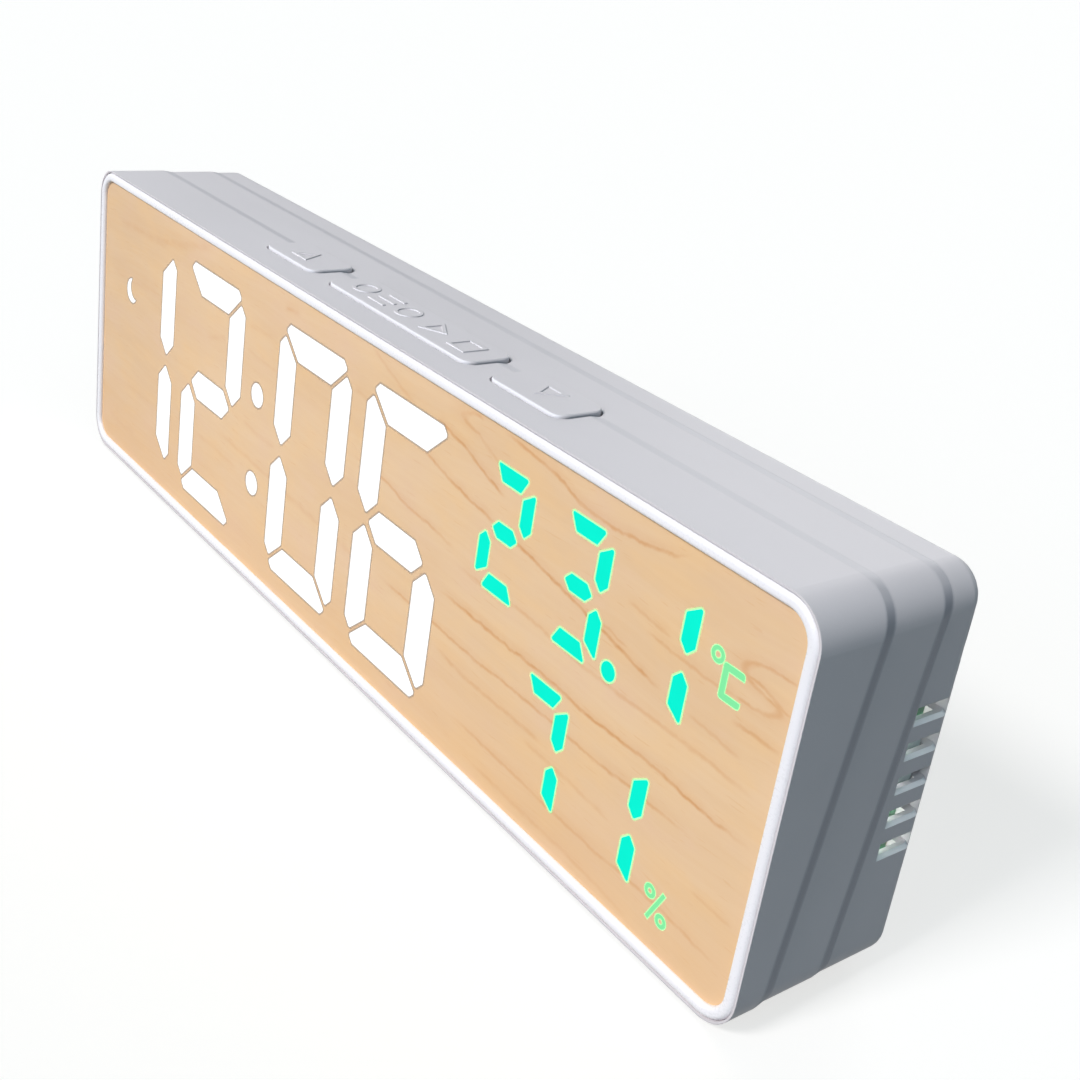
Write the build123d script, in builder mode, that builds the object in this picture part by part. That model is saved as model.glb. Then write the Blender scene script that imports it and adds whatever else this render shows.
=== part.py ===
from build123d import *
from math import cos, radians, sin, sqrt, tan
import os

# A free-standing digital clock: a shallow stepped housing with a wood-faced display in front,
# three keys on top, air slots at its right-hand end and a battery door at the back.
# Millimetres. X runs to the right, Y to the back and Z up. The origin is on the surface that the
# clock stands on, under the middle of its width and depth.

# Overall size
body_width = 190.0
body_height = 56.2
body_depth = 28.0
foot_stand = 0.6

# Housing form: three sections, each a little smaller than the one in front of it
front_corner_radius = 5.4
middle_corner_radius = 5.0
rear_corner_radius = 4.4
step_drop = 0.3
step_run = 1.6
first_step_depth = 8.4
rear_section_depth = 9.55
step_lean_degrees = 6.6
rear_edge_radius = 2.0
front_wall = 2.1
rear_wall = 1.9
back_wall = 2.4
tongue_length = 2.0
tongue_root = 1.0
tongue_thickness = 1.2

# General fits
touch_gap = 0.05
fit_gap = 0.1
moving_gap = 0.3
overrun = 1.0

# Front frame, panel and film
lip_thickness = 0.3
lip_setback = 0.2
rim_width = 1.7
rim_flange = 0.7
rim_outer_round = 0.8
rim_inner_round = 0.6
film_thickness = 0.3
panel_thickness = 1.4
panel_overlap = 0.8
foam_thickness = 0.5
foam_width = 1.2

# Display figures
time_end_margin = 11.55
time_top_margin = 7.05
time_bottom_margin = 5.85
time_pair_gap = 4.5
time_colon_gap = 12.3
big_upright_stroke = 5.5
big_level_stroke = 5.1
big_mitre_gap = 0.8
big_tip_gap = 1.0
big_level_cut = 2.9
big_upright_cut = 3.8
big_corner_round = 0.5
climate_block_width = 67.15
climate_top_margin = 6.9
climate_bottom_margin = 6.4
climate_row_gap = 6.5
climate_end_inset = 38.0
small_figure_width = 10.3
small_upright_stroke = 2.45
small_level_stroke = 2.35
small_mitre_gap = 0.95
small_tip_gap = 1.2
small_level_cut = 1.75
small_upright_cut = 1.4
small_corner_round = 0.3
small_pitch = 15.6
climate_lower_shift = -3.1
figure_slant_degrees = 0.9
colon_shift = -0.1
colon_height_shares = (0.1455, -0.2217)
colon_diameter = 4.1
point_side = 7.7
point_rise = 1.4
point_diameter = 2.6
degree_end_inset = 13.8
degree_rise = 3.7
degree_diameter = 2.1
unit_stroke = 0.85
ring_stroke = 0.55
celsius_end_inset = 11.0
celsius_rise = 1.2
celsius_width = 3.3
celsius_height = 4.5
percent_end_inset = 15.3
percent_margin = 5.6
percent_width = 4.5
percent_height = 5.2
percent_ring = 1.9
percent_slash_degrees = 25.0
moon_end_inset = 15.1
moon_rise = 8.3
moon_diameter = 4.6
moon_bite = 1.6

# Display block and its board
reflector_end_margin = 7.0
reflector_level_margin = 5.1
reflector_round = 1.0
reflector_depth = 4.4
diffuser_depth = 3.0
board_thickness = 1.6
board_side_gap = 0.5
board_level_gap = 1.7
board_round = 2.0
led_length = 1.6
led_width = 0.8
led_height = 0.7
led_rise_share = 0.09
led_side_share = 0.14

# Keys
key_centre_x = 2.4
key_depth = 9.7
key_width = 8.4
centre_key_length = 39.0
side_key_length = 15.9
side_key_pitch = 32.35
key_round = 2.0
key_proud = 0.4
key_edge_round = 0.3
key_skin = 1.2
key_side_wall = 1.0
key_flange = 0.8
key_flange_height = 0.9
key_travel = 0.5
key_mark_height = 0.15
key_mark_stroke = 0.55
key_mark_size = 4.4
key_triangle_width = 4.8
key_triangle_height = 4.2
mode_mark_pitch = 6.1
mode_marks_x = -8.0
set_mark_pitch = 7.3
set_marks_x = 10.0

# Key switches on the back of the board
switch_length = 6.2
switch_depth = 3.6
switch_height = 3.4
switch_top_clearance = 1.3
plunger_length = 3.0
plunger_width = 1.6
plunger_rise = 1.0
plunger_root = 0.4
plunger_gap = 0.2
stem_width = 1.8

# Screws and the posts that take them
board_screw_end_inset = 4.9
board_screw_z = 12.0
board_screw_bore = 2.0
board_screw_shank = 1.8
board_screw_length = 5.0
board_screw_head = 3.4
board_screw_head_height = 1.2
board_screw_hole = 2.2
board_post = 4.0
board_post_length = 6.0
post_rib = 1.6
cover_screw_end_inset = 10.5
cover_screw_level_inset = 8.1
cover_screw_bore = 2.5
cover_screw_shank = 2.3
cover_screw_reach = 5.0
cover_screw_head = 4.6
cover_screw_head_height = 1.8
cover_screw_hole = 2.8
cover_screw_well = 5.4
cover_screw_floor = 3.0
cover_boss = 6.0
cover_boss_depth = 10.5
cover_boss_length = 6.0
cover_sleeve = 7.2
boss_rib_length = 3.0
cross_slot_depth = 0.7
cross_slot_width = 0.6
cross_slot_share = 0.6

# Air slots
vent_count = 5
vent_pitch = 4.7
vent_height = 2.1
vent_centre = 0.725
vent_setback = 1.55
vent_reach = 5.0
vent_skin = 0.9
vent_wall = 1.1
vent_edge = 0.45

# Air sensor
sensor_board_setback = 2.2
sensor_board_thickness = 1.0
sensor_board_overlap = 1.75
sensor_board_height = 26.0
sensor_depth = 4.2
sensor_height = 9.0
sensor_thickness = 0.8
sensor_back_inset = 4.8
guide_depth = 4.5
guide_height = 2.2
guide_bite = 1.0
guide_wall = 1.2

# Battery bay, cells and contacts
cell_diameter = 10.5
cell_body_length = 43.5
cell_nub_length = 1.0
cell_nub_diameter = 3.8
cell_count = 3
cell_pitch = 10.8
cell_gap = 0.3
bay_end_inset = 55.0
bay_wall = 1.3
contact_sheet = 0.4
contact_width = 7.6
contact_dimple = 0.5
contact_dimple_diameter = 3.0
contact_spring_length = 2.8
contact_spring_width = 4.0
contact_tail_length = 3.0
contact_tail_height = 2.0

# Battery door
door_thickness = 1.4
door_lap = 1.6
door_round = 1.5
door_tab_width = 8.0
door_tab_length = 1.5
door_tab_thickness = 0.6
door_tab_spacing = 20.0
door_tab_room = 1.5
latch_width = 9.0
latch_length = 7.0
latch_slit = 0.8
finger_notch_width = 13.0
finger_notch_length = 4.0
finger_notch_depth = 0.7
grip_count = 4
grip_pitch = 1.4
grip_width = 0.6
grip_depth = 0.3

# Power inlet
inlet_end_inset = 49.0
inlet_z = -11.0
inlet_width = 8.94
inlet_height = 3.26
inlet_length = 7.35
inlet_wall = 0.3
inlet_setback = 0.5
inlet_gap = 0.25
inlet_tongue_width = 6.7
inlet_tongue_thickness = 0.7
inlet_block_length = 2.6
power_board_width = 15.0
power_board_length = 11.0
power_board_thickness = 1.2

# Other parts on the main board
chip_x = -40.0
driver_chip_x = -10.0
chip_z = 0.0
chip_length = 17.9
chip_width = 7.5
chip_height = 2.3
chip_lead_count = 14
chip_lead_width = 0.4
chip_lead_reach = 1.4
chip_lead_height = 0.8
crystal_x = -62.0
crystal_z = -8.0
crystal_diameter = 2.0
crystal_length = 6.0
buzzer_x = 22.0
buzzer_z = 4.0
buzzer_diameter = 12.0
buzzer_height = 8.0
buzzer_hole = 2.0
sound_hole_diameter = 1.6
sound_hole_ring = 3.6
sound_hole_count = 6
capacitor_x = 34.0
capacitor_gap = 4.0
capacitor_diameter = 6.3
capacitor_height = 7.7
capacitor_base = 6.6
capacitor_base_height = 0.8
resistor_count = 8
resistor_pitch = 3.2
resistor_length = 2.0
resistor_width = 1.25
resistor_height = 0.6
resistor_end_inset = 41.0
resistor_z = 12.0
header_height = 5.0
header_length = 7.0
header_width = 3.6
sensor_header_end_inset = 13.0
power_header_z = -3.0
lead_diameter = 1.1
lead_pitch = 1.8
lead_bend = 2.0
lead_rise = 3.2
solder_stand = 0.3

# Rubber feet
foot_diameter = 7.0
foot_thickness = 1.8
foot_end_inset = 25.0
front_foot_depth = 9.8
rear_foot_inset = 5.4
foot_edge_round = 0.3

# Places that follow from the sizes above
middle_z = foot_stand + body_height / 2
half_width = body_width / 2
half_height = body_height / 2
front_y = -body_depth / 2
lean = radians(step_lean_degrees)
slant = tan(radians(figure_slant_degrees))
time_figure_count = 4
time_gaps = 2 * time_pair_gap + time_colon_gap
time_width = body_width - time_end_margin - climate_block_width - time_gaps
big_figure_width = time_width / time_figure_count
big_figure_height = body_height - time_top_margin - time_bottom_margin
big_pitch = big_figure_width + time_pair_gap
hours_x = time_end_margin - half_width + big_figure_width + time_pair_gap / 2
minutes_x = hours_x + 2 * big_figure_width + time_pair_gap + time_colon_gap
time_z = (time_bottom_margin - time_top_margin) / 2
colon_x = (hours_x + minutes_x) / 2 + colon_shift
colon_heights = [time_z + share * big_figure_height for share in colon_height_shares]
moon_x = moon_end_inset - half_width
moon_z = time_z + moon_rise
climate_rows = body_height - climate_top_margin - climate_bottom_margin
small_figure_height = (climate_rows - climate_row_gap) / 2
climate_x = half_width - climate_end_inset
climate_z = half_height - climate_top_margin - small_figure_height / 2
climate_lower_z = climate_bottom_margin - half_height + small_figure_height / 2
point_x = climate_x + point_side
point_z = climate_z - small_figure_height / 2 + point_rise
degree_x = half_width - degree_end_inset
degree_z = climate_z + degree_rise
celsius_x = half_width - celsius_end_inset
celsius_z = climate_z + celsius_rise
percent_x = half_width - percent_end_inset
percent_z = percent_margin - half_height + percent_height / 2
reflector_half_width = half_width - reflector_end_margin
reflector_half_height = half_height - reflector_level_margin
board_half_width = half_width - front_wall - board_side_gap
board_half_height = half_height - front_wall - board_level_gap
board_screw_x = half_width - board_screw_end_inset
cover_screw_x = half_width - cover_screw_end_inset
cover_screw_z = half_height - cover_screw_level_inset
second_step_depth = body_depth - rear_section_depth
parting_depth = second_step_depth + step_run / 2
vent_start = parting_depth + vent_setback
sensor_board_front = parting_depth - sensor_board_overlap
sensor_centre_depth = body_depth - sensor_back_inset
film_depth = rim_flange
panel_depth = film_depth + film_thickness
shoulder_depth = panel_depth + panel_thickness
reflector_front = shoulder_depth + foam_thickness
board_front = reflector_front + reflector_depth
board_back = board_front + board_thickness
back_inner = body_depth - back_wall
rear_inset = 2 * step_drop
cavity_inset = rear_inset + rear_wall
key_top = half_height + key_proud
wall_under = half_height - front_wall
flange_top = wall_under - fit_gap
flange_under = flange_top - key_flange_height
plunger_top = flange_under - switch_top_clearance
switch_top = plunger_top - plunger_rise
plunger_bore = plunger_root + key_travel + moving_gap
capacitor_z = switch_top - switch_height - capacitor_gap - capacitor_base / 2
boss_end = cover_boss_depth + cover_boss_length
sleeve_front = boss_end + fit_gap
screw_seat = sleeve_front + cover_screw_floor
door_under = body_depth - door_thickness
cell_depth = door_under - cell_gap - cell_diameter / 2
trough_radius = cell_diameter / 2 + cell_gap / 2
bay_floor = cell_depth - trough_radius
cell_length = cell_body_length + cell_nub_length
bay_length = cell_length + 2 * contact_sheet + contact_dimple + contact_spring_length
bay_height = (cell_count - 1) * cell_pitch + 2 * trough_radius
cell_shift = (contact_spring_length - contact_dimple) / 2
door_length = bay_length + 2 * door_lap
door_height = bay_height + 2 * door_lap
bay_x = bay_end_inset - half_width
door_hinge_x = bay_x - door_length / 2
sensor_board_face = half_width - rear_inset - sensor_board_setback
sensor_header_x = half_width - sensor_header_end_inset
resistor_x = half_width - resistor_end_inset
inlet_x = half_width - inlet_end_inset
inlet_under = inlet_z - inlet_height / 2
inlet_front = body_depth - inlet_setback - inlet_length
power_board_back = back_inner - fit_gap
power_board_top = inlet_under
key_places = {
    "left_key": (key_centre_x - side_key_pitch, side_key_length),
    "centre_key": (key_centre_x, centre_key_length),
    "right_key": (key_centre_x + side_key_pitch, side_key_length),
}
foot_x = half_width - foot_end_inset
foot_places = [
    (side * foot_x, front_y + depth)
    for side in (-1, 1)
    for depth in (front_foot_depth, body_depth - rear_foot_inset)
]


def across(depth):
    """A plane square to the depth, facing the front, level with the housing's mid-height."""
    return Plane(origin=(0, front_y + depth, middle_z), x_dir=(1, 0, 0), z_dir=(0, -1, 0))


def leaning(depth):
    """A plane like across, leaning back at the top as the housing's steps do."""
    normal = (0, -cos(lean), sin(lean))
    return Plane(origin=(0, front_y + depth, middle_z), x_dir=(1, 0, 0), z_dir=normal)


def level(height):
    """A level plane at a height above or below the housing's mid-height."""
    return Plane.XY.offset(middle_z + height)


def upright(x):
    """A plane square to the width. Its own X runs to the back and its own Y runs up."""
    return Plane(origin=(x, front_y, middle_z), x_dir=(0, 1, 0), z_dir=(1, 0, 0))


def rounded_outline(inset):
    """The front section's outline, drawn in by an inset all round."""
    width = body_width - 2 * inset
    height = body_height - 2 * inset
    RectangleRounded(width, height, front_corner_radius - inset)


def save(builder, name):
    """Labels a finished piece and writes it under its own name."""
    builder.part.label = name
    export_step(builder.part, f"parts/{name}.step")


os.makedirs("parts", exist_ok=True)

# The outer form that both housing shells are cut from. Each entry is one section's outline:
# its plane, how far it is drawn in, its corner radius and how far it leans.
form_stations = [
    (across(lip_setback), 0, front_corner_radius, 0),
    (leaning(first_step_depth - step_run / 2), 0, front_corner_radius, lean),
    (leaning(first_step_depth + step_run / 2), step_drop, middle_corner_radius, lean),
    (leaning(second_step_depth - step_run / 2), step_drop, middle_corner_radius, lean),
    (leaning(parting_depth), rear_inset, rear_corner_radius, lean),
    (across(body_depth), rear_inset, rear_corner_radius, 0),
]
with BuildPart() as outer_form:
    for plane, inset, radius, tilt in form_stations:
        with BuildSketch(plane):
            height = (body_height - 2 * inset) / cos(tilt)
            RectangleRounded(body_width - 2 * inset, height, radius)
    loft(ruled=True)
    fillet(outer_form.faces().sort_by(Axis.Y)[-1].edges(), rear_edge_radius)

# Front housing: the two front sections, open at both ends
with BuildPart() as front_housing:
    add(outer_form.part)
    split(bisect_by=leaning(parting_depth), keep=Keep.TOP)
    with BuildSketch(across(lip_setback)):
        rounded_outline(lip_thickness)
    extrude(amount=-(shoulder_depth - lip_setback), mode=Mode.SUBTRACT)
    with BuildSketch(across(shoulder_depth)):
        rounded_outline(front_wall)
    extrude(amount=-body_depth, mode=Mode.SUBTRACT)
    # Posts behind the main board, each tied to the end wall beside it
    post_places = [(x * board_screw_x, z * board_screw_z) for x in (-1, 1) for z in (-1, 1)]
    rib_length = half_width - front_wall / 2 - board_screw_x
    rib_places = [
        (x * (board_screw_x + rib_length / 2), z * board_screw_z) for x in (-1, 1) for z in (-1, 1)
    ]
    with BuildSketch(across(board_back)):
        with Locations(*post_places):
            Circle(board_post / 2)
        with Locations(*rib_places):
            Rectangle(rib_length, post_rib)
    extrude(amount=-board_post_length)
    # Bosses for the cover screws, each tied to the top or bottom wall
    boss_places = [(x * cover_screw_x, z * cover_screw_z) for x in (-1, 1) for z in (-1, 1)]
    boss_rib_height = half_height - front_wall / 2 - cover_screw_z
    boss_rib_places = [
        (x * cover_screw_x, z * (cover_screw_z + boss_rib_height / 2)) for x in (-1, 1) for z in (-1, 1)
    ]
    with BuildSketch(across(cover_boss_depth)):
        with Locations(*boss_places):
            Circle(cover_boss / 2)
    extrude(amount=-cover_boss_length)
    with BuildSketch(across(cover_boss_depth)):
        with Locations(*boss_rib_places):
            Rectangle(post_rib, boss_rib_height)
    extrude(amount=-boss_rib_length)
    with BuildSketch(across(board_back)):
        with Locations(*post_places):
            Circle(board_screw_bore / 2)
    extrude(amount=-(board_screw_length - board_thickness + fit_gap), mode=Mode.SUBTRACT)
    with BuildSketch(across(boss_end)):
        with Locations(*boss_places):
            Circle(cover_screw_bore / 2)
    extrude(amount=cover_screw_reach + fit_gap, mode=Mode.SUBTRACT)
    # Openings for the three keys
    with BuildSketch(level(half_height + overrun)):
        for key_x, key_length in key_places.values():
            with Locations((key_x, front_y + key_depth)):
                RectangleRounded(
                    key_length + 2 * moving_gap, key_width + 2 * moving_gap, key_round + moving_gap
                )
    extrude(amount=-(front_wall + 2 * overrun), mode=Mode.SUBTRACT)
    # Pockets for the front feet
    with BuildSketch(Plane.XY.offset(foot_thickness)):
        with Locations(*[place for place in foot_places if place[1] < 0]):
            Circle(foot_diameter / 2 + fit_gap)
    extrude(amount=-foot_thickness, mode=Mode.SUBTRACT)
save(front_housing, "front_housing")

# The tongue that carries the rear cover inside the front housing
with BuildPart() as cover_tongue:
    with BuildSketch(across(0)):
        rounded_outline(front_wall + fit_gap)
        width = body_width - 2 * (front_wall + fit_gap + tongue_thickness)
        height = body_height - 2 * (front_wall + fit_gap + tongue_thickness)
        tongue_corner = front_corner_radius - front_wall - fit_gap - tongue_thickness
        RectangleRounded(width, height, tongue_corner, mode=Mode.SUBTRACT)
    extrude(amount=-body_depth)
    split(bisect_by=leaning(parting_depth - tongue_length), keep=Keep.BOTTOM)
    split(bisect_by=leaning(parting_depth + tongue_root), keep=Keep.TOP)

guide_half = sensor_board_height / 2 - guide_bite + guide_height / 2
power_guide_half = power_board_width / 2 - guide_bite + guide_height / 2
power_board_z = inlet_under - power_board_thickness / 2
tab_spots = [-door_tab_spacing / 2, door_tab_spacing / 2]

# Rear cover: the rear section with the battery bay, the screw sleeves and the air slots
with BuildPart() as rear_cover:
    add(outer_form.part)
    split(bisect_by=leaning(parting_depth), keep=Keep.BOTTOM)
    with BuildSketch(across(0)):
        width = body_width - 2 * cavity_inset
        RectangleRounded(width, body_height - 2 * cavity_inset, front_corner_radius - cavity_inset)
    extrude(amount=-back_inner, mode=Mode.SUBTRACT)
    add(cover_tongue.part)
    # Screw sleeves and the block around the battery bay
    with BuildSketch(across(sleeve_front)):
        with Locations(*boss_places):
            Circle(cover_sleeve / 2)
    extrude(amount=-(body_depth - back_wall / 2 - sleeve_front))
    with BuildSketch(across(bay_floor - bay_wall)):
        with Locations((bay_x, 0)):
            Rectangle(bay_length + 2 * bay_wall, bay_height + 2 * bay_wall)
    extrude(amount=-(body_depth - back_wall / 2 - bay_floor + bay_wall))
    # Guides that the sensor board and the power board slide into
    guide_x = sensor_board_face - sensor_board_thickness / 2
    with BuildSketch(across(back_inner - guide_depth)):
        guide_width = sensor_board_thickness + 2 * guide_wall
        reach = half_width - rear_inset - rear_wall / 2 - (guide_x - guide_width / 2)
        for side in (-1, 1):
            with Locations((guide_x - guide_width / 2 + reach / 2, vent_centre + side * guide_half)):
                Rectangle(reach, guide_height)
            with Locations((inlet_x + side * power_guide_half, power_board_z)):
                Rectangle(guide_height, power_board_thickness + 2 * guide_wall)
    extrude(amount=-(guide_depth + back_wall / 2))
    # What is cut away: bay, troughs, door seat, slots, wells and holes
    with BuildSketch(across(cell_depth)):
        with Locations((bay_x, 0)):
            Rectangle(bay_length, bay_height)
    extrude(amount=-body_depth, mode=Mode.SUBTRACT)
    with BuildSketch(upright(bay_x - bay_length / 2)):
        with Locations(*[(cell_depth, (row - (cell_count - 1) / 2) * cell_pitch) for row in range(cell_count)]):
            Circle(trough_radius)
    extrude(amount=bay_length, mode=Mode.SUBTRACT)
    with BuildSketch(across(door_under)):
        with Locations((bay_x, 0)):
            RectangleRounded(
                door_length + 2 * moving_gap, door_height + 2 * moving_gap, door_round + moving_gap
            )
    extrude(amount=-body_depth, mode=Mode.SUBTRACT)
    tab_pocket_left = door_hinge_x - door_tab_length - moving_gap
    tab_pocket_right = bay_x - bay_length / 2 + touch_gap
    with BuildSketch(across(door_under - door_tab_room)):
        for spot in tab_spots:
            with Locations(((tab_pocket_left + tab_pocket_right) / 2, spot)):
                Rectangle(tab_pocket_right - tab_pocket_left, door_tab_width + 2 * moving_gap)
    extrude(amount=-(door_tab_room + door_tab_thickness + moving_gap / 2), mode=Mode.SUBTRACT)
    with BuildSketch(across(body_depth - finger_notch_depth)):
        with Locations((bay_x + door_length / 2, 0)):
            SlotCenterToCenter(
                finger_notch_width - finger_notch_length, 2 * finger_notch_length, rotation=90
            )
    extrude(amount=-body_depth, mode=Mode.SUBTRACT)
    for side in (-1, 1):
        with BuildSketch(upright(bay_x + side * bay_length / 2)):
            with Locations((cell_depth, 0)):
                slot_width = contact_width + 2 * fit_gap
                Rectangle(slot_width, 2 * cell_pitch + slot_width)
        extrude(amount=-side * (contact_sheet + fit_gap), mode=Mode.SUBTRACT)
        tail_x = bay_x + side * (bay_length + bay_wall) / 2
        with BuildSketch(upright(tail_x - bay_wall)):
            with Locations((cell_depth, side * cell_pitch)):
                Rectangle(contact_sheet + 2 * fit_gap, contact_tail_height + 2 * fit_gap)
        extrude(amount=2 * bay_wall, mode=Mode.SUBTRACT)
    with BuildSketch(across(0)):
        with Locations(*boss_places):
            Circle(cover_screw_hole / 2)
    extrude(amount=-(body_depth + overrun), mode=Mode.SUBTRACT)
    with BuildSketch(across(screw_seat)):
        with Locations(*boss_places):
            Circle(cover_screw_well / 2)
    extrude(amount=-body_depth, mode=Mode.SUBTRACT)
    with BuildSketch(across(vent_start)):
        vent_width = vent_reach + rear_inset
        for row in range(vent_count):
            vent_z = vent_centre + (row - (vent_count - 1) / 2) * vent_pitch
            with Locations((half_width - vent_width / 2, vent_z)):
                Rectangle(vent_width, vent_height)
    extrude(amount=-(body_depth - vent_skin - vent_start), mode=Mode.SUBTRACT)
    with BuildSketch(across(sensor_board_front - overrun)):
        with Locations((guide_x, vent_centre)):
            Rectangle(sensor_board_thickness + 2 * fit_gap, sensor_board_height + 2 * fit_gap)
        with Locations((inlet_x, power_board_z)):
            Rectangle(power_board_width + 2 * fit_gap, power_board_thickness + 2 * fit_gap)
    extrude(amount=-(back_inner - sensor_board_front + overrun), mode=Mode.SUBTRACT)
    # The wall is thinner round the air slots, and the slots' lower edges are bevelled outside
    thin_outer = half_width - rear_inset - vent_wall
    thin_inner = sensor_board_face - sensor_board_thickness - fit_gap
    with BuildSketch(across(sensor_board_front - overrun)):
        with Locations(((thin_outer + thin_inner) / 2, vent_centre)):
            Rectangle(thin_outer - thin_inner, sensor_board_height - 2 * guide_bite)
    extrude(amount=-(back_inner - sensor_board_front + overrun), mode=Mode.SUBTRACT)
    slot_floors = [
        middle_z + vent_centre + (row - (vent_count - 1) / 2) * vent_pitch - vent_height / 2
        for row in range(vent_count)
    ]
    outside = half_width - rear_inset - touch_gap
    lips = [
        edge
        for floor in slot_floors
        for edge in rear_cover.edges().filter_by_position(Axis.Z, floor - touch_gap, floor + touch_gap)
        if edge.center().X > outside or (edge.center().X > thin_outer and edge.geom_type != GeomType.LINE)
    ]
    chamfer(lips, vent_edge)
    with BuildSketch(across(back_inner - overrun)):
        with Locations((inlet_x, inlet_z)):
            opening_height = inlet_height + 2 * inlet_gap
            SlotOverall(inlet_width + 2 * inlet_gap, opening_height)
        with Locations((buzzer_x, buzzer_z)):
            Circle(sound_hole_diameter / 2)
            with PolarLocations(sound_hole_ring, sound_hole_count):
                Circle(sound_hole_diameter / 2)
    extrude(amount=-body_depth, mode=Mode.SUBTRACT)
    with BuildSketch(Plane.XY.offset(foot_thickness)):
        with Locations(*[place for place in foot_places if place[1] > 0]):
            Circle(foot_diameter / 2 + fit_gap)
    extrude(amount=-foot_thickness, mode=Mode.SUBTRACT)
save(rear_cover, "rear_cover")

# Front frame: the half-round rim that holds the panel in the housing's mouth
frame_outer = lip_thickness + touch_gap
rim_inset = frame_outer + rim_width
panel_inset = rim_inset - panel_overlap
with BuildPart() as front_frame:
    with BuildSketch(across(0)):
        rounded_outline(frame_outer)
    extrude(amount=-(shoulder_depth - touch_gap))
    with BuildSketch(across(0)):
        rounded_outline(rim_inset)
    extrude(amount=-body_depth, mode=Mode.SUBTRACT)
    with BuildSketch(across(film_depth)):
        rounded_outline(panel_inset - touch_gap)
    extrude(amount=-body_depth, mode=Mode.SUBTRACT)
    rim_face = front_frame.faces().sort_by(Axis.Y)[0]
    fillet(rim_face.outer_wire().edges(), rim_outer_round)
    rim_face = front_frame.faces().filter_by(Axis.Y).sort_by(Axis.Y)[0]
    fillet(rim_face.inner_wires()[0].edges(), rim_inner_round)
save(front_frame, "front_frame")

# Bars of a seven-bar figure, named by where they stand
BAR_NAMES = ("top", "upper_right", "lower_right", "bottom", "lower_left", "upper_left", "middle")
FIGURES = {
    0: ("top", "upper_right", "lower_right", "bottom", "lower_left", "upper_left"),
    1: ("upper_right", "lower_right"),
    2: ("top", "upper_right", "middle", "lower_left", "bottom"),
    3: ("top", "upper_right", "middle", "lower_right", "bottom"),
    6: ("top", "upper_left", "middle", "lower_left", "lower_right", "bottom"),
    7: ("top", "upper_right", "lower_right"),
}


def figure_bars(width, height, upright_stroke, level_stroke, mitre_gap, tip_gap, cuts, pointed):
    """The outline points of the seven bars of one figure about its centre, before its slant.

    The level bars' outer corners are cut back by the first of the cuts and the uprights' by the
    second. Where the ends are pointed, a cut at 45 degrees meets the mitre in a tip.
    """
    a, b = width / 2, height / 2
    half = level_stroke / 2
    gap = mitre_gap / sqrt(2)
    level_cut, upright_cut = cuts
    top = [(-a + level_cut, b)]
    side = [(-a, b - upright_cut)]
    if pointed:
        top.insert(0, (-a + (level_cut + gap) / 2, b - (level_cut - gap) / 2))
        side.append((-a + (upright_cut - gap) / 2, b - (upright_cut + gap) / 2))
    top += [(-x, z) for x, z in reversed(top)]
    inner_x = a - upright_stroke - gap
    top += [(inner_x, b - level_stroke), (-inner_x, b - level_stroke)]
    rise = upright_stroke / 2 + tip_gap
    side += [(-a + upright_stroke, b - level_stroke - gap), (-a + upright_stroke, rise)]
    side += [(-a + upright_stroke / 2, tip_gap), (-a, rise)]
    tip = a - upright_stroke / 2 - tip_gap
    middle = [(-tip, 0), (half - tip, half), (tip - half, half)]
    middle += [(-x, -z) for x, z in middle]
    return {
        "top": top,
        "bottom": [(x, -z) for x, z in top],
        "upper_left": side,
        "lower_left": [(x, -z) for x, z in side],
        "upper_right": [(-x, z) for x, z in side],
        "lower_right": [(-x, -z) for x, z in side],
        "middle": middle,
    }


def draw_bars(bars, names, x, z, rounding):
    """Draws the named bars of one figure in the open sketch, with the figure's centre at x, z."""
    for name in names:
        points = [(x + u + v * slant, z + v) for u, v in bars[name]]
        if rounding:
            with BuildLine() as outline:
                FilletPolyline(*points, radius=rounding, close=True)
            make_face(outline.edges())
        else:
            Polygon(*points, align=None)


big_bars = figure_bars(
    big_figure_width, big_figure_height, big_upright_stroke, big_level_stroke,
    big_mitre_gap, big_tip_gap, (big_level_cut, big_upright_cut), True,
)
small_bars = figure_bars(
    small_figure_width, small_figure_height, small_upright_stroke, small_level_stroke,
    small_mitre_gap, small_tip_gap, (small_level_cut, small_upright_cut), False,
)
hour_spots = (hours_x - big_pitch / 2, hours_x + big_pitch / 2)
minute_spots = (minutes_x - big_pitch / 2, minutes_x + big_pitch / 2)
time_figures = list(zip(hour_spots + minute_spots, (1, 2, 0, 6)))
climate_figures = [
    (climate_x - small_pitch, climate_z, 2),
    (climate_x, climate_z, 3),
    (climate_x + small_pitch, climate_z, 1),
    (climate_x + climate_lower_shift, climate_lower_z, 7),
    (climate_x + small_pitch + climate_lower_shift, climate_lower_z, 1),
]


def draw_time_marks():
    """The colon and a small moon that marks the evening."""
    for z in colon_heights:
        with Locations((colon_x, z)):
            Circle(colon_diameter / 2)
    with Locations((moon_x, moon_z)):
        Circle(moon_diameter / 2)
    with Locations((moon_x + moon_bite, moon_z + moon_bite / 2)):
        Circle(moon_diameter / 2 - touch_gap, mode=Mode.SUBTRACT)


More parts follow.
